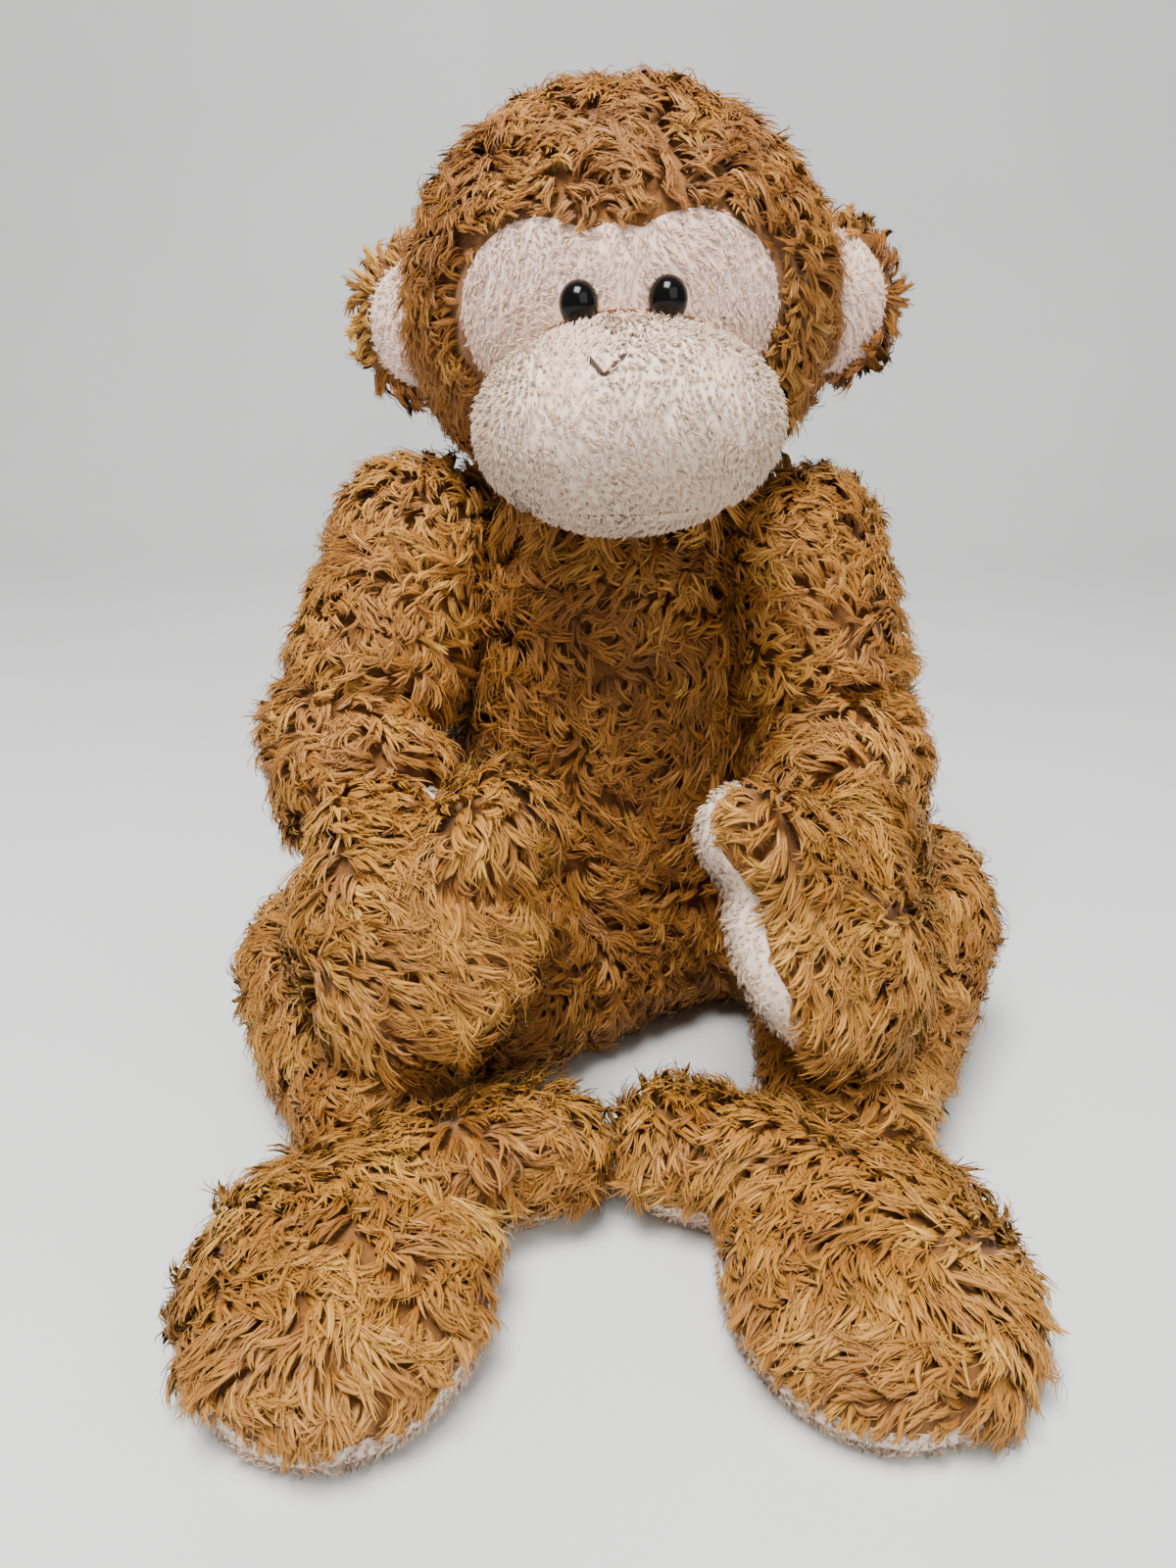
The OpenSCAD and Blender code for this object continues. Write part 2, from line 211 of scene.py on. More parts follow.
def strand_material(name, tones, painted_root_shade, roughness, sheen, specular):
    """Pile seen strand by strand: tone across the map, painted shade darkening it towards the root along it,
    fine fibres within a strand.
    """
    mat, tree, shader = material(name)
    uv = node(tree, "ShaderNodeUVMap", uv_map=UV_MAP)
    split = node(tree, "ShaderNodeSeparateXYZ")
    tree.links.new(uv.outputs["UV"], split.inputs[0])
    stretch = node(tree, "ShaderNodeMapping")
    stretch.inputs["Scale"].default_value = FIBRE_STRETCH
    tree.links.new(uv.outputs["UV"], stretch.inputs["Vector"])
    fibre = node(tree, "ShaderNodeTexNoise", Scale=1.0, Detail=2.0)
    tree.links.new(stretch.outputs[0], fibre.inputs["Vector"])
    tone = ramp(tree, split.outputs["X"], tones)
    # Painted shade: the colour is darkened towards each strand's root, standing in for the shade deep in the
    # pile.
    along = ramp(tree, split.outputs["Y"], painted_root_shade)
    streak = ramp(tree, fibre.outputs["Fac"], [(0.3, FIBRE_SHADE), (0.7, grey(1.0))])
    colour = multiply(tree, multiply(tree, tone, along), streak)
    tree.links.new(colour, shader.inputs["Base Color"])
    shader.inputs["Roughness"].default_value = roughness
    shader.inputs["Specular IOR Level"].default_value = specular
    shader.inputs["Sheen Weight"].default_value = sheen
    shader.inputs["Sheen Roughness"].default_value = 0.4
    shader.inputs["Sheen Tint"].default_value = (*tones[-1][1], 1)
    shader.inputs["Specular Tint"].default_value = (*GLOSS_TINT, 1)
    bump(tree, shader, fibre.outputs["Fac"], 0.5, FIBRE_RELIEF)
    return mat


def cloth_material(name, dark, light, scale, roughness, depth):
    """Knitted backing of a plush cloth, with a fine nap and slow changes of tone."""
    mat, tree, shader = material(name)
    place = node(tree, "ShaderNodeTexCoord")
    slow = node(tree, "ShaderNodeTexNoise", Scale=70.0, Detail=3.0)
    fine = node(tree, "ShaderNodeTexNoise", Scale=scale, Detail=5.0, Roughness=0.65)
    for n in (slow, fine):
        tree.links.new(place.outputs["Object"], n.inputs["Vector"])
    tone = ramp(tree, fine.outputs["Fac"], [(0.3, dark), (0.7, light)])
    drift = ramp(tree, slow.outputs["Fac"], [(0.3, grey(0.86)), (0.7, grey(1.0))])
    tree.links.new(multiply(tree, tone, drift), shader.inputs["Base Color"])
    shader.inputs["Roughness"].default_value = roughness
    shader.inputs["Specular IOR Level"].default_value = 0.2
    shader.inputs["Sheen Weight"].default_value = 0.2
    bump(tree, shader, fine.outputs["Fac"], 0.6, depth)
    return mat


GOLD_TONES = [
    (0.0, (0.187, 0.066, 0.014)),
    (0.35, (0.374, 0.149, 0.026)),
    (0.7, (0.550, 0.254, 0.046)),
    (1.0, (0.792, 0.475, 0.106)),
]
HEAD_TONES = [
    (0.0, (0.14, 0.045, 0.009)),
    (0.35, (0.28, 0.100, 0.017)),
    (0.7, (0.42, 0.178, 0.030)),
    (1.0, (0.64, 0.355, 0.072)),
]
LONG_TONES = [
    (0.0, (0.185, 0.066, 0.012)),
    (0.35, (0.360, 0.146, 0.024)),
    (0.7, (0.525, 0.244, 0.042)),
    (1.0, (0.752, 0.452, 0.094)),
]
PINK_TONES = [
    (0.0, (0.653, 0.407, 0.304)),
    (0.3, (0.918, 0.598, 0.456)),
    (0.6, (1.000, 0.725, 0.575)),
    (1.0, (1.000, 0.833, 0.703)),
]
CREAM_TONES = [
    (0.0, (0.46, 0.300, 0.210)),
    (0.3, (0.78, 0.555, 0.410)),
    (0.6, (0.88, 0.665, 0.510)),
    (1.0, (0.95, 0.780, 0.630)),
]
# Painted shade along a strand, darkest at its root, standing in for the shade deep in the fur and the pile.
FUR_ROOT_PAINTED_SHADE = [(0.0, (0.50, 0.40, 0.32)), (0.4, (0.88, 0.84, 0.80)), (1.0, grey(1.0))]
PILE_ROOT_PAINTED_SHADE = [(0.0, (0.86, 0.80, 0.77)), (0.6, grey(1.0)), (1.0, grey(1.0))]

STRANDS = {
    "head_fur": strand_material("head_fur", HEAD_TONES, FUR_ROOT_PAINTED_SHADE, 0.45, 0.12, 0.5),
    "body_fur": strand_material("body_fur", GOLD_TONES, FUR_ROOT_PAINTED_SHADE, 0.45, 0.12, 0.5),
    "long_fur": strand_material("long_fur", LONG_TONES, FUR_ROOT_PAINTED_SHADE, 0.42, 0.12, 0.55),
    "face_plush": strand_material("face_pile", PINK_TONES, PILE_ROOT_PAINTED_SHADE, 0.8, 0.3, 0.2),
    "muzzle_plush": strand_material("muzzle_pile", CREAM_TONES, PILE_ROOT_PAINTED_SHADE, 0.8, 0.3, 0.2),
    "ear_plush": strand_material("ear_pile", PINK_TONES, PILE_ROOT_PAINTED_SHADE, 0.8, 0.3, 0.2),
    "palm_plush": strand_material("palm_pile", CREAM_TONES, PILE_ROOT_PAINTED_SHADE, 0.8, 0.3, 0.2),
    "sole_plush": strand_material("sole_pile", CREAM_TONES, PILE_ROOT_PAINTED_SHADE, 0.8, 0.3, 0.2),
}
# The backing under the fur: its own brown, darkened as painted shade so that the gaps between tufts read as
# deep shadow.
FUR_BACKING_AND_PAINTED_SHADE = ((0.15, 0.056, 0.012), (0.25, 0.100, 0.022))
PINK_CLOTH = ((0.78, 0.56, 0.46), (0.88, 0.67, 0.57))
CREAM_CLOTH = ((0.76, 0.59, 0.47), (0.86, 0.70, 0.58))
CLOTHS = {
    "head_fur": cloth_material("head_cloth", *FUR_BACKING_AND_PAINTED_SHADE, 900.0, 0.9, 0.0004),
    "body_fur": cloth_material("body_cloth", *FUR_BACKING_AND_PAINTED_SHADE, 900.0, 0.9, 0.0004),
    "long_fur": cloth_material("limb_cloth", *FUR_BACKING_AND_PAINTED_SHADE, 900.0, 0.9, 0.0004),
    "face_plush": cloth_material("face_cloth", *PINK_CLOTH, 1400.0, 0.9, 0.0003),
    "muzzle_plush": cloth_material("muzzle_cloth", *CREAM_CLOTH, 1400.0, 0.9, 0.0003),
    "ear_plush": cloth_material("ear_cloth", *PINK_CLOTH, 1400.0, 0.9, 0.0003),
    "palm_plush": cloth_material("palm_cloth", *CREAM_CLOTH, 1400.0, 0.9, 0.0003),
    "sole_plush": cloth_material("sole_cloth", *CREAM_CLOTH, 1400.0, 0.9, 0.0003),
}


def eye_material():
    mat, tree, shader = material("black_eye")
    place = node(tree, "ShaderNodeTexCoord")
    noise = node(tree, "ShaderNodeTexNoise", Scale=500.0, Detail=2.0)
    tree.links.new(place.outputs["Object"], noise.inputs["Vector"])
    tone = ramp(tree, noise.outputs["Fac"], [(0.3, grey(0.0010)), (0.7, (0.0022, 0.0020, 0.0020))])
    tree.links.new(tone, shader.inputs["Base Color"])
    shader.inputs["Roughness"].default_value = 0.14
    shader.inputs["Specular IOR Level"].default_value = 0.2
    return mat


def thread_material():
    mat, tree, shader = material("brown_thread")
    place = node(tree, "ShaderNodeTexCoord")
    wave = node(tree, "ShaderNodeTexWave", Scale=900.0, Distortion=1.5)
    tree.links.new(place.outputs["Object"], wave.inputs["Vector"])
    tone = ramp(tree, wave.outputs["Fac"], [(0.0, (0.014, 0.006, 0.003)), (1.0, (0.075, 0.034, 0.018))])
    tree.links.new(tone, shader.inputs["Base Color"])
    shader.inputs["Roughness"].default_value = 0.55
    bump(tree, shader, wave.outputs["Fac"], 0.5, 0.0002)
    return mat



# ---------- skins ----------

BODY_SLOT = {"head": "head_fur", "ear_left": "head_fur", "ear_right": "head_fur"}
for part in ("hand", "foot"):
    for side in SIDES:
        BODY_SLOT[f"{part}_{side}"] = "long_fur"
NODES_OF = frame["record"]["behaviour"]["bodies"]
LOOSE_NODES = ("nose_stitch", "eye_left", "eye_right", "eye_washer_left", "eye_washer_right", "pellet_bag")
PILE_SLOT = {
    "face_panel": "face_plush",
    "muzzle_cover": "muzzle_plush",
    "chin_panel": "muzzle_plush",
    "ear_front_left": "ear_plush",
    "ear_front_right": "ear_plush",
    "hand_palm_left": "palm_plush",
    "hand_palm_right": "palm_plush",
    "foot_sole_left": "sole_plush",
    "foot_sole_right": "sole_plush",
}
VOXEL = {"head": 1.5 * MM, "ear_left": 1.2 * MM, "ear_right": 1.2 * MM}
LIMB_VOXEL = 2.4 * MM
SMOOTHING = {"head": 3}
SMOOTHING_STEPS = (0.6, -0.58)  # in and nearly as far out again, so that a skin hardly shrinks
LIMB_SMOOTHING = 6
SWELL_CAP = {"head": 0.5 * MM}
LIMB_SWELL_CAP = 1.4 * MM
NECK_WIDENING = 1.45
PRESSURE = 4.0
CLOTH_FRAMES = 20


def node_arrays(names):
    """The named CAD nodes as one set of arrays."""
    verts, tris, count = [], [], 0
    for name in names:
        v, t = arrays_of(frame["nodes"][name].data)
        verts.append(v)
        tris.append(t + count)
        count += len(v)
    return np.concatenate(verts), np.concatenate(tris)


def relaxed(mesh, rounds):
    """Evens out the steps that a voxel remesh leaves."""
    verts = np.empty(len(mesh.vertices) * 3)
    mesh.vertices.foreach_get("co", verts)
    verts = verts.reshape(-1, 3)
    edges = np.empty(len(mesh.edges) * 2, np.int32)
    mesh.edges.foreach_get("vertices", edges)
    a, b = edges.reshape(-1, 2).T
    count = np.bincount(np.concatenate([a, b]), minlength=len(verts))[:, None]
    for step in SMOOTHING_STEPS * rounds:
        total = np.zeros_like(verts)
        np.add.at(total, a, verts[b])
        np.add.at(total, b, verts[a])
        verts = verts + step * (total / np.maximum(count, 1) - verts)
    mesh.vertices.foreach_set("co", verts.ravel())
    mesh.update()


def blank_skin(body):
    """One closed skin around the body's covers and filling."""
    names = [n for n in NODES_OF[body] if n not in LOOSE_NODES]
    verts, tris = node_arrays(names)
    obj = build("blank_" + body, verts, tris, CLOTHS[BODY_SLOT.get(body, "body_fur")])
    bm = bmesh.new()
    bm.from_mesh(obj.data)
    bmesh.ops.remove_doubles(bm, verts=bm.verts, dist=1e-6)
    bm.to_mesh(obj.data)
    bm.free()
    remesh = obj.modifiers.new("Remesh", "REMESH")
    remesh.mode = "VOXEL"
    remesh.voxel_size = VOXEL.get(body, LIMB_VOXEL)
    mesh = result_of(obj)
    remove(obj)
    relaxed(mesh, SMOOTHING.get(body, LIMB_SMOOTHING))
    obj = bpy.data.objects.new("blank_" + body, mesh)
    bpy.context.scene.collection.objects.link(obj)
    return obj


def swell(blanks):
    """Lets the filling press the skins out as cloth, each point by a capped amount."""
    scene = bpy.context.scene
    start = {}
    for obj in blanks.values():
        start[obj.name] = arrays_of(obj.data)[0]
        cloth = obj.modifiers.new("Cloth", "CLOTH")
        cloth.settings.use_pressure = True
        cloth.settings.uniform_pressure_force = PRESSURE
        cloth.settings.quality = 4
        cloth.settings.effector_weights.gravity = 0
        cloth.point_cache.frame_start = 1
        cloth.point_cache.frame_end = CLOTH_FRAMES
    for number in range(1, CLOTH_FRAMES + 1):
        scene.frame_set(number)
    for body, obj in blanks.items():
        mesh = result_of(obj)
        moved, _ = arrays_of(mesh)
        step, cap = moved - start[obj.name], SWELL_CAP.get(body, LIMB_SWELL_CAP)
        far = np.linalg.norm(step, axis=1, keepdims=True)
        verts = start[obj.name] + step * np.minimum(1, cap / np.maximum(far, 1e-9))
        obj.modifiers.clear()
        obj.data.vertices.foreach_set("co", verts.astype(np.float32).ravel())
        obj.data.update()
        bpy.data.meshes.remove(mesh)
    scene.frame_set(1)


def finished_skin(obj):
    """Arrays of the skin after one subdivision, kept above the floor."""
    obj.modifiers.new("Subdivision", "SUBSURF").levels = 1
    mesh = result_of(obj)
    verts, tris = arrays_of(mesh)
    verts[:, 2] = np.maximum(verts[:, 2], 0)
    remove(obj)
    return verts, tris


def tree_of(verts, tris):
    return BVHTree.FromPolygons(verts.tolist(), tris.tolist())


def distances(verts, names):
    """Distance of every point from each named CAD node."""
    out = []
    for name in names:
        tree = tree_of(*arrays_of(frame["nodes"][name].data))
        out.append([tree.find_nearest(v)[3] for v in verts.tolist()])
    return np.array(out)


def cut(verts, tris, field, extra):
    """The part of a surface where field is above 0, cut cleanly along its line. extra fields come along."""
    inside = field[tris] > 0
    total = inside.sum(1)
    data = np.column_stack([verts, field, *extra])
    points, faces = [data], [tris[total == 3]]
    count = len(data)
    for keep in (1, 2):
        rows = tris[total == keep]
        flags = inside[total == keep]
        first = np.argmax(flags if keep == 1 else ~flags, axis=1)
        order = (first[:, None] + np.arange(3)) % 3
        a, b, c = np.take_along_axis(rows, order, 1).T
        new = []
        for other in (b, c):
            t = field[a] / (field[a] - field[other])
            new.append(data[a] + t[:, None] * (data[other] - data[a]))
        ab = count + np.arange(len(a))
        ac = ab + len(a)
        count += 2 * len(a)
        points += new
        if keep == 1:
            faces.append(np.column_stack([a, ab, ac]))
        else:
            faces += [np.column_stack([ab, b, c]), np.column_stack([ab, c, ac])]
    data, faces = np.concatenate(points), np.concatenate(faces)
    key = np.round(data[:, :3] / WELD).astype(np.int64)
    _, first, same = np.unique(key, axis=0, return_index=True, return_inverse=True)
    data, faces = data[first], same.reshape(-1)[faces]
    a, b, c = faces.T
    faces = faces[(a != b) & (b != c) & (c != a)]
    used, index = np.unique(faces, return_inverse=True)
    data = data[used]
    return data[:, :3], index.reshape(-1, 3), data[:, 3], [data[:, 4 + k] for k in range(len(extra))]


def panel(verts, tris, lift, thickness):
    """A closed piece of cloth over an open surface."""
    normals = vertex_normals(verts, tris)
    top = verts + normals * lift[:, None]
    low = verts - normals * thickness
    edges = np.concatenate([tris[:, [0, 1]], tris[:, [1, 2]], tris[:, [2, 0]]])
    sides = dict.fromkeys(map(tuple, edges.tolist()))
    rim = np.array([(a, b) for a, b in sides if (b, a) not in sides])
    n = len(verts)
    walls = []
    if len(rim):
        a, b = rim.T
        walls = [np.column_stack([b, a, a + n]), np.column_stack([b, a + n, b + n])]
    out = np.concatenate([top, low])
    out[:, 2] = np.maximum(out[:, 2], 0)
    return out, np.concatenate([tris, tris[:, ::-1] + n, *walls])


# ---------- fur ----------


class Layer:
    """Tapered strands of one kind in every tuft. own is how far a strand is shaded by its own roundness."""

    def __init__(self, count, width, flatness, sides, segments, spread, share, own):
        self.count = count
        self.width = width
        self.flatness = flatness
        self.sides = sides
        self.segments = segments
        self.spread = spread
        self.share = share
        self.own = own


class Pile:
    """How one kind of pile grows in tufts: lengths in metres, angles in degrees."""

    def __init__(self, slot, spacing, length, lean, curl, swirl, tone, tone_noise, layers):
        self.slot = slot
        self.spacing = spacing
        self.length = length
        self.lean = lean
        self.curl = curl
        self.swirl = swirl
        self.tone = tone
        self.tone_noise = tone_noise
        self.layers = layers


LOCK = Layer(3, 1.5 * MM, 0.42, 3, 5, (0.2 * MM, 1.1 * MM), (0.85, 1.08), 0.42)
WISPS = Layer(4, 0.36 * MM, 0.75, 3, 3, (0.3 * MM, 1.4 * MM), (0.85, 1.2), 0.5)
CURLY = dict(spacing=2.7 * MM, length=(7.8 * MM, 10.8 * MM), lean=(28, 126), curl=125, swirl=85,
             tone=0.5, tone_noise=0.15, layers=(LOCK, WISPS))
KINDS = {
    "head_fur": Pile("head_fur", **{**CURLY, "length": (7.0 * MM, 10.0 * MM), "tone": 0.47}),
    # The torso's fur has a lower tone than the rest of the body: painted shade, standing in for the shadow
    # under the chin on the chest.
    "torso_fur": Pile("body_fur", **{**CURLY, "tone": 0.34}),
    "body_fur": Pile("body_fur", **CURLY),
    "neck_fur": Pile("body_fur", **{**CURLY, "length": (12.0 * MM, 17.0 * MM), "lean": (10, 100)}),
    "ear_fur": Pile("head_fur", **{**CURLY, "spacing": 2.2 * MM, "length": (6.0 * MM, 9.0 * MM),
                                   "tone": 0.55}),
    "long_fur": Pile("long_fur", **{**CURLY, "length": (8.5 * MM, 12.0 * MM), "lean": (48, 114), "curl": 90,
                                    "swirl": 52}),
}
NAP = Layer(5, 0.36 * MM, 0.75, 3, 2, (0.1 * MM, 0.75 * MM), (0.8, 1.2), 0.5)
SHORT = dict(spacing=1.28 * MM, length=(1.9 * MM, 2.7 * MM), lean=(30, 86), curl=70, swirl=90, tone=0.58,
             tone_noise=0.08, layers=(NAP,))
for slot_name in ("face_plush", "muzzle_plush", "ear_plush"):
    KINDS[slot_name] = Pile(slot_name, **SHORT)
for slot_name in ("palm_plush", "sole_plush"):
    KINDS[slot_name] = Pile(slot_name, **{**SHORT, "spacing": 1.7 * MM})
PIECE_TRIANGLES = 190_000
ROOT_DEPTH = 0.2 * MM  # how far below the skin a strand starts
RING_SPREAD = 1.35  # above 1, the rings of a strand lie closer together towards its tip
CLOSING = 0.7  # how far the strands of a tuft close in on its tip
FLOOR_GAP = 0.15 * MM


def scatter(verts, tris, values, spacing, rng):
    """Evenly spread points on a surface, with their smooth normals and the values there."""
    a, b, c = (verts[tris[:, k]] for k in range(3))
    area = np.linalg.norm(np.cross(b - a, c - a), axis=1) / 2
    count = int(5 * area.sum() / spacing**2)
    pick = rng.choice(len(tris), count, p=area / area.sum())
    u, v = rng.random((2, count))
    flip = u + v > 1
    u[flip], v[flip] = 1 - u[flip], 1 - v[flip]
    w = np.column_stack([1 - u - v, u, v])
    normals = vertex_normals(verts, tris)
    points = np.einsum("nk,nkd->nd", w, verts[tris[pick]])
    normal = unit(np.einsum("nk,nkd->nd", w, normals[tris[pick]]))
    value = np.sum(w * values[tris[pick]], 1)
    cells = np.floor(points / (spacing * 0.92)).astype(np.int64)
    _, first = np.unique(cells, axis=0, return_index=True)
    first.sort()
    return points[first], normal[first], value[first]


def turned(v, axis, angle):
    """v turned about unit axis by angle, row by row."""
    c, s = np.cos(angle)[:, None], np.sin(angle)[:, None]
    return v * c + np.cross(axis, v) * s + axis * (np.sum(axis * v, 1)[:, None]) * (1 - c)


def tufts(points, normals, comb, kind, scale, seed):
    """The way each tuft of these points grows."""
    rng = np.random.default_rng(seed)
    n = len(points)
    comb = unit(comb - normals * np.sum(comb * normals, 1)[:, None])
    swirl = np.radians(kind.swirl) * smooth_waves(points, seed, 14 * MM, 45 * MM)
    swirl += np.radians(kind.swirl * 0.22) * rng.normal(size=n)
    curl = 0.6 * smooth_waves(points, seed + 2, 8 * MM, 24 * MM) + 0.6 * rng.normal(size=n)
    tone = kind.tone + kind.tone_noise * smooth_waves(points, seed + 1, 8 * MM, 30 * MM)
    return {
        "base": points - normals * ROOT_DEPTH,
        "normal": normals,
        "comb": turned(comb, normals, swirl),
        "tone": tone + kind.tone_noise * 0.7 * rng.normal(size=n),
        "length": rng.uniform(*kind.length, size=n) * scale,
        "girth": np.sqrt(scale),
        "curl": np.radians(kind.curl) * curl,
        "lean0": np.radians(kind.lean[0] + rng.normal(size=n) * 9),
        "lean1": np.radians(kind.lean[1] + rng.normal(size=n) * 12),
    }


def strands(roots, layer, rng):
    """Arrays and map of one layer's tapered strands, which close in on the tip of their tuft."""
    grown = {key: np.repeat(a, layer.count, axis=0) for key, a in roots.items()}
    m = len(grown["base"])
    normal = grown["normal"]
    comb = turned(grown["comb"], normal, np.radians(5) * rng.normal(size=m))
    side = np.cross(normal, comb)
    turn = rng.uniform(0, 2 * math.pi, m)
    radius = rng.uniform(*layer.spread, size=m)
    offset = comb * (radius * np.cos(turn))[:, None] + side * (radius * np.sin(turn))[:, None]
    length = grown["length"] * rng.uniform(*layer.share, size=m)
    curl = grown["curl"] + np.radians(7) * rng.normal(size=m)
    lean0 = grown["lean0"] + np.radians(3) * rng.normal(size=m)
    lean1 = grown["lean1"] + np.radians(5) * rng.normal(size=m)
    tone = np.clip(grown["tone"] + 0.06 * rng.normal(size=m), 0.01, 0.95)
    roll = np.radians(15) * rng.normal(size=m)
    wide = layer.width * grown["girth"] * rng.uniform(0.75, 1.25, m) / 2
    sway = np.radians(13) * rng.normal(size=m)
    phase = rng.uniform(0, 2 * math.pi, m)

    centre, verts, shading = grown["base"], [], []
    angles = [math.pi / 2 + 2 * math.pi * (j + 0.5) / layer.sides for j in range(layer.sides)]
    for i in range(layer.segments + 1):
        s = 1 - (1 - i / layer.segments) ** RING_SPREAD
        lean = lean0 + (lean1 - lean0) * s
        heading = turned(comb, normal, curl * s**1.3 + sway * (np.sin(phase + 6 * s) - np.sin(phase)) * s)
        along = normal * np.cos(lean)[:, None] + heading * np.sin(lean)[:, None]
        ring = centre + offset * (1 - CLOSING * s)
        ahead = 1 - (1 - min(i + 1, layer.segments) / layer.segments) ** RING_SPREAD
        centre = centre + along * (length * (ahead - s))[:, None]
        if i == layer.segments:
            verts.append(ring)
            shading.append(normal)
            break
        flat = unit(np.cross(along, normal) + side * 1e-3)
        flat = turned(flat, along, roll)
        up = np.cross(along, flat)
        r = wide * (0.6 + 0.4 * min(1, 4 * s)) * (1 - s**2.4) ** 0.8
        for angle in angles:
            x, y = math.cos(angle), layer.flatness * math.sin(angle)
            verts.append(ring + flat * (r * x)[:, None] + up * (r * y)[:, None])
            around = flat * x + up * math.sin(angle)
            soft = around * layer.own + normal * (1 - layer.own)
            turned_away = np.clip(0.35 - np.sum(around * soft, 1), 0, None)
            shading.append(unit(soft + around * (1.2 * turned_away)[:, None]))
    verts, shading = np.stack(verts, 1), np.stack(shading, 1)
    verts[..., 2] = np.maximum(verts[..., 2], FLOOR_GAP)

    sides, last = layer.sides, layer.sides * layer.segments
    across = [(math.cos(angle) + 1) / 2 for angle in angles]
    faces, uv = [], []
    for i in range(layer.segments):
        lo, hi = i / layer.segments, (i + 1) / layer.segments
        for j in range(sides):
            q = (j + 1) % sides
            a, b = sides * i + j, sides * i + q
            if i < layer.segments - 1:
                faces += [(a, b, b + sides), (a, b + sides, a + sides)]
                uv += [(across[j], lo), (across[q], lo), (across[q], hi)]
                uv += [(across[j], lo), (across[q], hi), (across[j], hi)]
            else:
                faces.append((a, b, last))
                uv += [(across[j], lo), (across[q], lo), (0.5, hi)]
    faces, uv = np.array(faces), np.array(uv)
    all_faces = (np.arange(m)[:, None, None] * (last + 1) + faces[None]).reshape(-1, 3)
    all_uv = np.broadcast_to(uv[None], (m, len(uv), 2)).copy()
    all_uv[..., 0] = tone[:, None] + all_uv[..., 0] * 0.03
    all_uv[..., 1] = all_uv[..., 1] * 0.98 + 0.01
    return verts.reshape(-1, 3), all_faces, all_uv.reshape(-1, 2), shading.reshape(-1, 3)


SKINS = {}  # body: (verts, tris)
TREES = {}


BURIED_REACH = 3.5 * MM

def buried(points, normals, body):
    """True where a point a little above the skin lies inside another body's skin."""
    out = np.zeros(len(points), bool)
    probe = points + normals * BURIED_REACH
    for other, (verts, _) in SKINS.items():
        if other == body:
            continue
        low, high = verts.min(0), verts.max(0)
        near = np.all((probe > low) & (probe < high), axis=1) & ~out
        for i in np.nonzero(near)[0]:
            place, normal, _, _ = TREES[other].find_nearest(probe[i].tolist())
            out[i] = (Vector(probe[i]) - place).dot(normal) < 0
    return out


FAN = 0.6


def combed(body, points, root):
    """From the root of a hand or foot towards its tips, opening a little like a fan."""
    verts, _ = SKINS[body]
    return unit(middle_of(verts) - root) + FAN * unit(points - root)


LIMB_ENDS = {
    "upper_arm": ("shoulder", "elbow"),
    "forearm": ("elbow", "wrist"),
    "thigh": ("hip", "knee"),
    "shin": ("knee", "ankle"),
}
ROOT_JOINT = {"hand": "wrist", "foot": "ankle"}
DOWN = np.array([0, -0.15, -1.0])

def flow(body, points):
    """The way the pile of a body is combed at these points."""
    part, _, side = body.rpartition("_")
    if body == "head":
        loose = np.random.default_rng(SEED).normal(size=points.shape)
        return points - HEAD_CROWN + loose * CROWN_MESS
    if part == "ear":
        return points - JOINT[f"ear_fold_{side}"] + np.array([0, 20 * MM, 0])
    if part in ROOT_JOINT:
        return combed(body, points, JOINT[f"{ROOT_JOINT[part]}_{side}"])
    if part in LIMB_ENDS:
        top, end = (JOINT[f"{name}_{side}"] for name in LIMB_ENDS[part])
        return np.tile(end - top, (len(points), 1))
    return np.tile(DOWN, (len(points), 1))

SEAM_FILL = {"elbow": 0.08, "wrist": 0.42, "knee": 0.2, "ankle": 0.2}  # how much longer the fur is there
SEAM_REACH = 8 * MM
FLANK = (55 * MM, 120 * MM)  # the heights between which the body's sides fill the gap to the arms
FLANK_FILL = 0.8
NO_TRIM = (1.0, 1.0)
FUR_TRIM = {"head": (0.6, 6 * MM), "ear": (0.6, 4 * MM), "hand": (0.22, 8 * MM), "foot": (0.25, 8 * MM)}
WRAP = {  # how far a pink panel comes out round its rim, below 0 where it is drawn back
    "face_panel": 1.6 * MM,
    "muzzle_cover": 1.6 * MM,
    "chin_panel": 1.6 * MM,
    "hand_palm_left": 9.5 * MM,
    "hand_palm_right": -4.0 * MM,
    "foot_sole_left": 3.5 * MM,
    "foot_sole_right": 3.5 * MM,
    "ear_front_left": 0.2 * MM,
    "ear_front_right": -0.8 * MM,
}
RIM_SHOWS = {  # the side on which the pink comes out in full and the fur beside it is clipped short
    "hand_left": (-1.0, 0.0, -0.15),
    "hand_right": (0.0, 1.0, -0.5),
    "foot_left": (-0.75, -0.65, 0.0),
    "foot_right": (0.6, -0.8, 0.0),
}
PILE_TRIM = {"face_panel": (0.4, 2.5 * MM), "muzzle_cover": (0.95, 1.5 * MM)}
PILE_TRIM_ELSEWHERE = (0.6, 2.0 * MM)
CREASE_SINK_AND_PAINTED_SHADE = {  # how deep the pile sinks at a seam, and how much painted shade darkens its tone there
    "face_panel_pile": (1.4 * MM, 0.5),
    "muzzle_cover_pile": (0.0, 0.05),
    "chin_panel_pile": (0.8 * MM, 0.3),
}
CREASE_ELSEWHERE_SINK_AND_PAINTED_SHADE = (0.5 * MM, 0.15)
CREASE_REACH = 1.4 * MM
CROWN_MESS = 6 * MM
HEAD_CROWN = (JOINT["ear_fold_left"] + JOINT["ear_fold_right"]) / 2 + np.array([0, 6 * MM, 44 * MM])


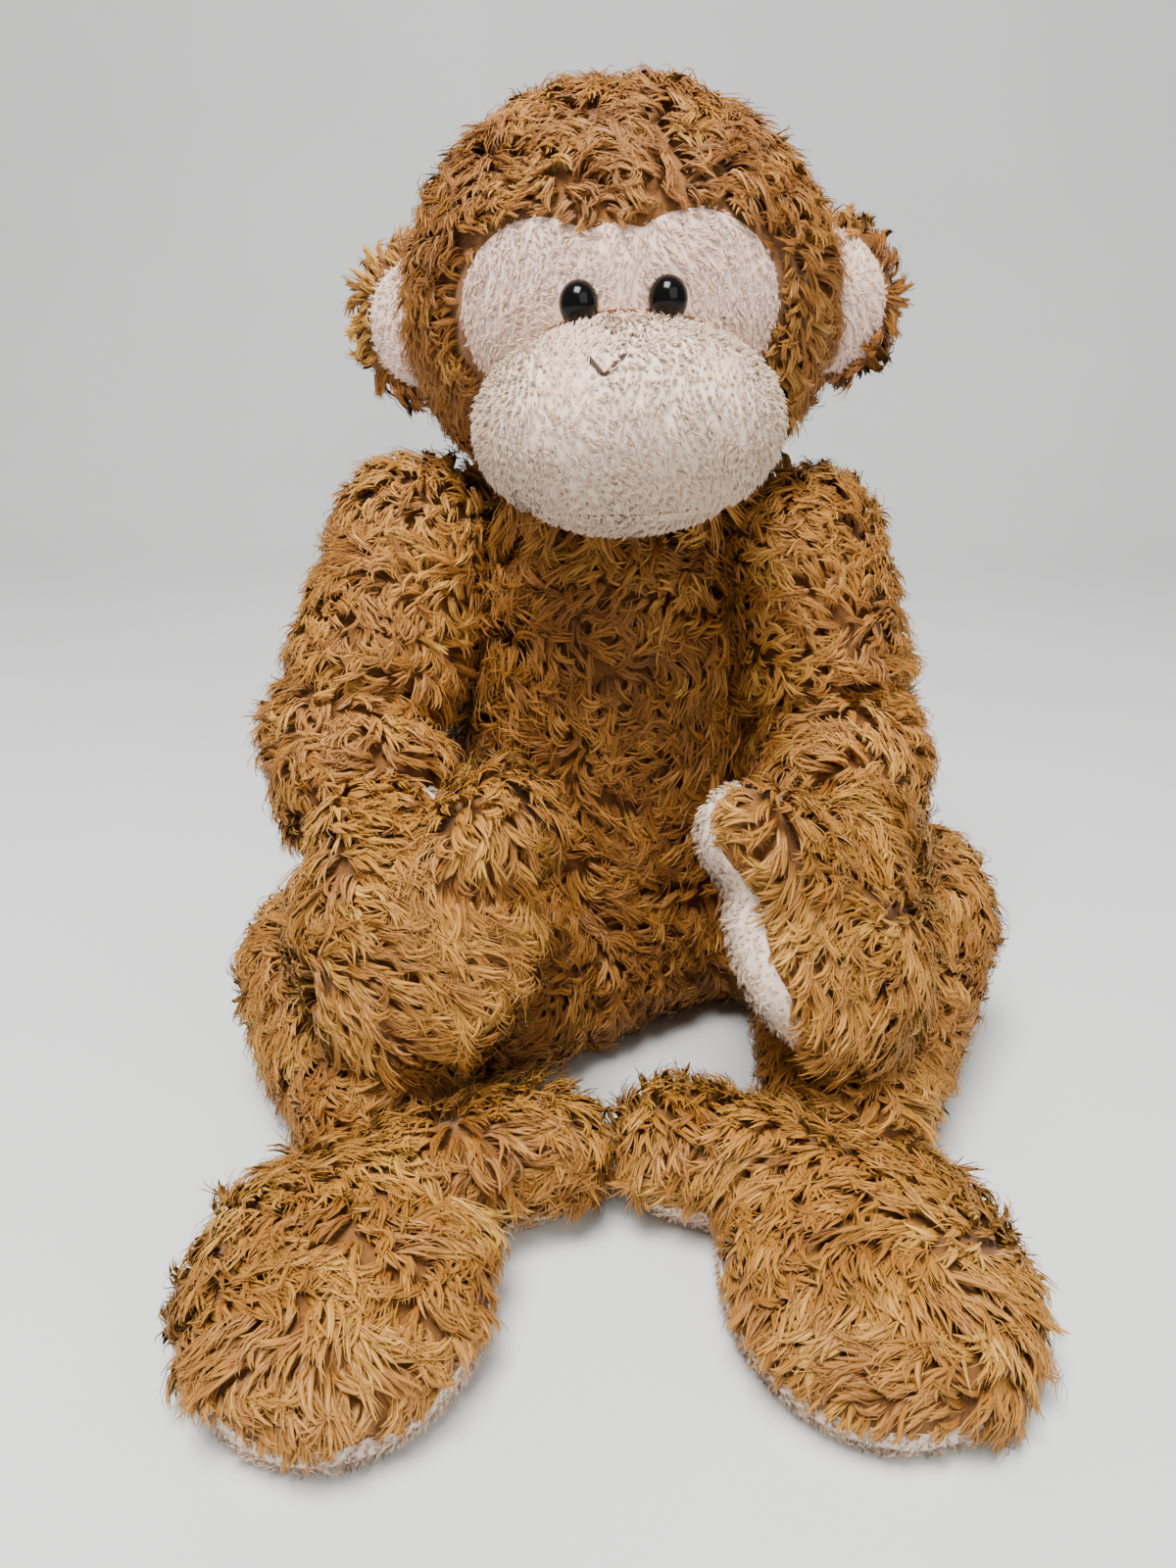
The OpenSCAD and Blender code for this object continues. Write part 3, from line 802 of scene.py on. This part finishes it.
def fuller(body, points, normals):
    """How much longer the pile is at the seams of the limbs and at the flanks under the arms."""
    out = np.ones(len(points))
    for joint in frame["joints"]:
        seam = SEAM_FILL.get(joint["name"].rpartition("_")[0])
        if seam and body in (joint["parent"], joint["child"]):
            near, far = (middle_of(SKINS[joint[end]][0]) for end in ("parent", "child"))
            away = np.abs((points - JOINT[joint["name"]]) @ unit(far - near))
            out = np.maximum(out, 1 + seam * np.clip(1 - away / SEAM_REACH, 0, 1))
    if body == "torso":
        side = np.clip(1.6 * np.abs(normals[:, 0]) - 0.6, 0, 1)
        out += FLANK_FILL * side * ((points[:, 2] > FLANK[0]) & (points[:, 2] < FLANK[1]))
    return out


UNDERSIDE = 1.2 * MM  # below this height no pile grows on what faces the floor
EYE_CLEARANCE = 0.62  # as a share of the eye's width and height

def clear_of_eyes(points):
    """True where a point of the face is not behind an eye."""
    ok = np.ones(len(points), bool)
    for eye_side in SIDES:
        low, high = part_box(f"eye_{eye_side}")
        x = (points[:, 0] - (low.x + high.x) / 2) / (high.x - low.x)
        z = (points[:, 2] - (low.z + high.z) / 2) / (high.z - low.z)
        ok &= np.hypot(x, z) > EYE_CLEARANCE
    return ok

def grow(name, body, verts, tris, edge, kind, trim, seed):
    """The pile over a surface of the body. Next to its edge it is shorter: trim is (least share, reach)."""
    rng = np.random.default_rng(seed)
    points, normals, edge = scatter(verts, tris, edge, kind.spacing, rng)
    ok = ~buried(points, normals, body)
    ok &= ~((points[:, 2] < UNDERSIDE) & (normals[:, 2] < -0.5))
    if name == "face_panel_pile":
        ok &= clear_of_eyes(points)
    points, normals, edge = points[ok], normals[ok], edge[ok]
    scale = trim[0] + (1 - trim[0]) * np.clip(edge / trim[1], 0, 1)
    if kind.slot not in PILE_SLOT.values():
        scale = scale * fuller(body, points, normals)
    roots = tufts(points, normals, flow(body, points), kind, scale, seed)
    if kind.slot in PILE_SLOT.values():
        depth, shade = CREASE_SINK_AND_PAINTED_SHADE.get(name, CREASE_ELSEWHERE_SINK_AND_PAINTED_SHADE)
        seam = np.exp(-edge / CREASE_REACH)
        roots["base"] -= normals * (depth * seam)[:, None]
        # Painted shade: the pile's tone is darkened next to a seam, standing in for the shade in the crease.
        roots["tone"] -= shade * seam
    per_tuft = sum(layer.count * layer.sides * (2 * layer.segments - 1) for layer in kind.layers)
    pieces = math.ceil(len(points) * per_tuft / PIECE_TRIANGLES)
    for i, rows in enumerate(np.array_split(np.argsort(points[:, 2]), pieces)):
        verts, tris, uv, shading, count = [], [], [], [], 0
        for layer in kind.layers:
            v, t, m, bent = strands({key: a[rows] for key, a in roots.items()}, layer, rng)
            verts.append(v)
            tris.append(t + count)
            uv.append(m)
            shading.append(bent)
            count += len(v)
        piece_name = name if pieces == 1 else f"{name}_{i + 1}"
        piece = build(piece_name, np.concatenate(verts), np.concatenate(tris), STRANDS[kind.slot],
                      np.concatenate(uv), np.concatenate(shading))
        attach(piece, body)


PLUMP = {  # joint: (the way the cloth beside it is filled out, how far, reach)
    "wrist_right": ((-1.0, -0.2, -0.2), 5.5 * MM, 20.8 * MM),
    "knee_right": ((-0.5, 0.3, 0.8), 6.5 * MM, 32 * MM),
    "knee_left": ((0.3, 0.3, 0.9), 7.0 * MM, 32 * MM),
}


def plumped(body, verts, tris):
    """The skin of a body, filled out beside the joints listed in PLUMP."""
    normals = vertex_normals(verts, tris)
    out = verts.copy()
    for joint in frame["joints"]:
        if joint["name"] in PLUMP and body in (joint["parent"], joint["child"]):
            way, far, reach = PLUMP[joint["name"]]
            way = unit(np.array(way))
            near = np.exp(-((np.linalg.norm(verts - JOINT[joint["name"]], axis=1) / reach) ** 2))
            out += way * (far * near * np.clip(normals @ way, 0, 1) ** 0.5)[:, None]
    return out


def make_skins():
    blanks = {body: blank_skin(body) for body in NODES_OF}
    swell(blanks)
    for body, obj in blanks.items():
        verts, tris = finished_skin(obj)
        if body == "neck":
            middle = JOINT["neck_turn"][0]
            verts[:, 0] = (verts[:, 0] - middle) * NECK_WIDENING + middle
        SKINS[body] = plumped(body, verts, tris), tris
        TREES[body] = tree_of(*SKINS[body])


FUR_OVERLAP = 0.3 * MM  # how far the fur grows over the line of a pink panel
PANEL_LIFT = 0.35 * MM
PANEL_THICKNESS = 1.2 * MM
PILE_MARGIN = 0.35 * MM
SEEDS_PER_BODY = 10

def dress(body, index):
    """The skin, the pink panels and the pile of one body."""
    verts, tris = SKINS[body]
    slot = BODY_SLOT.get(body, "body_fur")
    covers = [n for n in NODES_OF[body] if n not in LOOSE_NODES and "stuffing" not in n]
    fillings = [n for n in NODES_OF[body] if "stuffing" in n]
    pinks = [n for n in covers if n in PILE_SLOT]
    furry = [n for n in covers if n not in PILE_SLOT]
    skin = build(f"{body}_skin", verts, tris, CLOTHS[slot])
    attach(skin, body)
    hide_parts(*furry, *fillings)
    part = body.rpartition("_")[0] or body
    kind = KINDS.get(f"{part}_fur", KINDS[slot])
    seed = SEED + SEEDS_PER_BODY * index
    if not pinks:
        grow(f"{body}_fur", body, verts, tris, np.ones(len(verts)), kind, NO_TRIM, seed)
        return
    away = distances(verts, covers)
    shows = np.ones(len(verts))
    if body in RIM_SHOWS:
        place = (verts - middle_of(verts)) @ unit(np.array(RIM_SHOWS[body]))
        shows = np.clip(0.4 + 1.6 * place / place.max(), 0, 1)
    away -= np.array([WRAP.get(name, 0) for name in covers])[:, None] * shows
    fur_field = np.min([away[covers.index(n)] for n in pinks], axis=0)
    fur_field = fur_field - np.min([away[covers.index(n)] for n in furry], axis=0)
    fv, ft, edge, (shows,) = cut(verts, tris, fur_field + FUR_OVERLAP, [shows])
    edge = edge + (1 - shows) * FUR_TRIM[part][1]
    grow(f"{body}_fur", body, fv, ft, edge, kind, FUR_TRIM[part], seed)
    for k, name in enumerate(pinks):
        others = np.delete(away, covers.index(name), 0).min(0)
        pv, pt, edge, _ = cut(verts, tris, others - away[covers.index(name)], [])
        pink = PILE_SLOT[name]
        depth, _ = CREASE_SINK_AND_PAINTED_SHADE.get(f"{name}_pile", CREASE_ELSEWHERE_SINK_AND_PAINTED_SHADE)
        lift = PANEL_LIFT - depth * np.exp(-edge / CREASE_REACH)
        piece = build(f"{name}_cloth", *panel(pv, pt, lift, PANEL_THICKNESS), CLOTHS[pink])
        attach(piece, body)
        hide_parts(name)
        inner_v, inner_t, edge, _ = cut(pv, pt, edge - PILE_MARGIN, [])
        grow(f"{name}_pile", body, inner_v, inner_t, edge, KINDS[pink],
             PILE_TRIM.get(name, PILE_TRIM_ELSEWHERE), seed + 1 + k)


# ---------- eyes and stitches ----------


EYE_RISE = 1.7 * MM  # how much further forward than the CAD dome
EYE_GROWTH = 1.16
EYE_DEPTH = 4.2 * MM
EYE_SIDES = 48
EYE_RINGS = [  # (share of the radius, share of the depth), from the tip back
    (0.25, 0.03),
    (0.5, 0.13),
    (0.7, 0.27),
    (0.85, 0.45),
    (0.95, 0.68),
    (1.0, 0.9),
    (1.0, 1.05),
    (0.93, 1.15),
]


def eye(side):
    """A domed plastic eye with a flat rim, on the same seat as the CAD one."""
    low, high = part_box(f"eye_{side}")
    centre = (low + high) / 2
    half = Vector(((high.x - low.x) / 2, 0, (high.z - low.z) / 2)) * EYE_GROWTH
    front = low.y - EYE_RISE
    angles = np.linspace(0, 2 * math.pi, EYE_SIDES, endpoint=False)
    bm = bmesh.new()
    tip = bm.verts.new((centre.x, front, centre.z))
    loops = []
    for r, d in EYE_RINGS:
        y = front + EYE_DEPTH * d
        loops.append([
            bm.verts.new((centre.x + half.x * r * math.cos(a), y, centre.z + half.z * r * math.sin(a)))
            for a in angles
        ])
    for i in range(EYE_SIDES):
        bm.faces.new((tip, loops[0][i], loops[0][(i + 1) % EYE_SIDES]))
    for one, two in zip(loops, loops[1:], strict=False):
        for i in range(EYE_SIDES):
            j = (i + 1) % EYE_SIDES
            bm.faces.new((one[i], two[i], two[j], one[j]))
    bm.faces.new(loops[-1])
    bmesh.ops.recalc_face_normals(bm, faces=bm.faces)
    mesh = bpy.data.meshes.new(f"eye_dome_{side}")
    bm.to_mesh(mesh)
    bm.free()
    mesh.shade_smooth()
    mesh.materials.append(EYE_MATERIAL)
    obj = bpy.data.objects.new(f"eye_dome_{side}", mesh)
    bpy.context.scene.collection.objects.link(obj)
    obj.modifiers.new("Subdivision", "SUBSURF").levels = 1
    obj.modifiers["Subdivision"].render_levels = 1
    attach(obj, "head")
    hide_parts(f"eye_{side}")


def tube(points, radius, sides=8):
    """Arrays of a closed round tube along points."""
    points = np.array(points)
    verts, tris = [], []
    for i, p in enumerate(points):
        ahead = unit(points[min(i + 1, len(points) - 1)] - points[max(i - 1, 0)])
        side = unit(np.cross(ahead, [0, 1, 0]))
        up = np.cross(side, ahead)
        r = radius * (0.35 if i in (0, len(points) - 1) else 1)
        for a in np.linspace(0, 2 * math.pi, sides, endpoint=False):
            verts.append(p + side * r * math.cos(a) + up * r * math.sin(a))
    for i in range(len(points) - 1):
        for j in range(sides):
            a, b = i * sides + j, i * sides + (j + 1) % sides
            tris += [(a, b, b + sides), (a, b + sides, a + sides)]
    last = len(verts) - sides
    for j in range(1, sides - 1):
        tris += [(0, j + 1, j), (last, last + j, last + j + 1)]
    return np.array(verts), np.array(tris)


THREAD_RADIUS = 0.22 * MM
THREAD_SHIFT = 0.18 * MM
THREAD_RISE = 1.5 * MM
THREAD_POINTS = 14

def nose():
    """The V of the nose, in strands of thread laid over the muzzle."""
    verts, _ = arrays_of(frame["nodes"]["nose_stitch"].data)
    ends = [verts[verts[:, 0].argmin()], verts[verts[:, 2].argmin()], verts[verts[:, 0].argmax()]]
    pieces, count = [], 0
    for a, b in ((ends[0], ends[1]), (ends[2], ends[1])):
        for shift in (-THREAD_SHIFT, THREAD_SHIFT):
            line = []
            for t in np.linspace(0, 1, THREAD_POINTS):
                p = a + (b - a) * t + np.array([shift, 0, abs(shift) * 0.6])
                hit = TREES["head"].ray_cast(Vector((p[0], p[1] - 20 * MM, p[2])), Vector((0, 1, 0)))
                rise = THREAD_RISE * math.sin(math.pi * min(max(t, 0.04), 0.96)) ** 0.35
                line.append((p[0], hit[0].y - rise, p[2]))
            v, f = tube(line, THREAD_RADIUS)
            pieces.append((v, f + count))
            count += len(v)
    obj = build("nose_thread", np.concatenate([v for v, _ in pieces]),
                np.concatenate([f for _, f in pieces]), THREAD_MATERIAL)
    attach(obj, "head")
    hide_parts("nose_stitch")


# ---------- stage ----------


def area_light(name, place, target, size, power):
    """A soft square lamp that looks at the target."""
    data = bpy.data.lights.new(name, "AREA")
    data.size = size
    data.energy = power
    obj = bpy.data.objects.new(name, data)
    obj.location = place
    obj.rotation_euler = (Vector(target) - Vector(place)).to_track_quat("-Z", "Y").to_euler()
    bpy.context.scene.collection.objects.link(obj)


def floor():
    """A plain pale floor that bends up into a backdrop."""
    mat, tree, shader = material("pale_floor")
    place = node(tree, "ShaderNodeTexCoord")
    noise = node(tree, "ShaderNodeTexNoise", Scale=6.0, Detail=4.0)
    tree.links.new(place.outputs["Object"], noise.inputs["Vector"])
    tone = ramp(tree, noise.outputs["Fac"], [(0.3, (0.60, 0.61, 0.60)), (0.7, (0.64, 0.65, 0.64))])
    tree.links.new(tone, shader.inputs["Base Color"])
    shader.inputs["Roughness"].default_value = 0.9
    wide, back, rise, bend = 4.0, 0.9, 2.5, 0.35
    profile = [(-wide, 0.0), (back - bend, 0.0)]
    for a in np.linspace(0, math.pi / 2, 16)[1:]:
        profile.append((back - bend + bend * math.sin(a), bend - bend * math.cos(a)))
    profile.append((back, rise))
    verts, faces = [], []
    for y, z in profile:
        verts += [(-wide, y, z), (wide, y, z)]
    for i in range(len(profile) - 1):
        faces.append((2 * i, 2 * i + 1, 2 * i + 3, 2 * i + 2))
    mesh = bpy.data.meshes.new("floor")
    mesh.from_pydata(verts, [], faces)
    mesh.shade_smooth()
    mesh.materials.append(mat)
    obj = bpy.data.objects.new("floor", mesh)
    bpy.context.scene.collection.objects.link(obj)


CAMERA_LENS = 28.07  # in millimetres, on a sensor 36 mm wide
CAMERA_PLACE = (-0.00047, -0.30593, 0.17942)
CAMERA_LOOK = Vector((-0.01650, 0.92772, -0.37292))
CAMERA_RIGHT = Vector((0.99984, 0.01807, 0.00070))

def camera():
    """The photograph's point of view."""
    data = bpy.data.cameras.new("camera")
    data.lens = CAMERA_LENS
    data.sensor_width = 36
    data.clip_start = 0.01
    obj = bpy.data.objects.new("camera", data)
    up = CAMERA_RIGHT.cross(CAMERA_LOOK).normalized()
    turn = Matrix((CAMERA_RIGHT, up, -CAMERA_LOOK)).transposed().to_4x4()
    obj.matrix_world = Matrix.Translation(CAMERA_PLACE) @ turn
    bpy.context.scene.collection.objects.link(obj)
    bpy.context.scene.camera = obj


def world():
    """Even, slightly warm light from all round."""
    scene_world = bpy.data.worlds.new("studio")
    scene_world.use_nodes = True
    background = scene_world.node_tree.nodes["Background"]
    background.inputs["Color"].default_value = (1.0, 0.985, 0.96, 1)
    background.inputs["Strength"].default_value = 0.36
    bpy.context.scene.world = scene_world


camera()
world()
floor()
area_light("key", place=(-0.12, -0.42, 1.0), target=(0, -0.06, 0.1), size=0.45, power=28)
area_light("fill", place=(0.5, -0.8, 0.6), target=(0, -0.05, 0.1), size=0.8, power=4.5)

EYE_MATERIAL = eye_material()
THREAD_MATERIAL = thread_material()
make_skins()
for number, body_name in enumerate(NODES_OF):
    dress(body_name, number)
for eye_side in SIDES:
    eye(eye_side)
nose()

WASHER = cloth_material("white_washer", (0.62, 0.62, 0.58), (0.74, 0.74, 0.70), 300.0, 0.5, 0.0002)
PELLETS = cloth_material("pellet_cloth", (0.25, 0.30, 0.38), (0.42, 0.48, 0.56), 1200.0, 0.8, 0.0002)
for hidden, mat in (("eye_washer_left", WASHER), ("eye_washer_right", WASHER), ("pellet_bag", PELLETS)):
    data = frame["nodes"][hidden].data
    data.materials.clear()
    data.materials.append(mat)
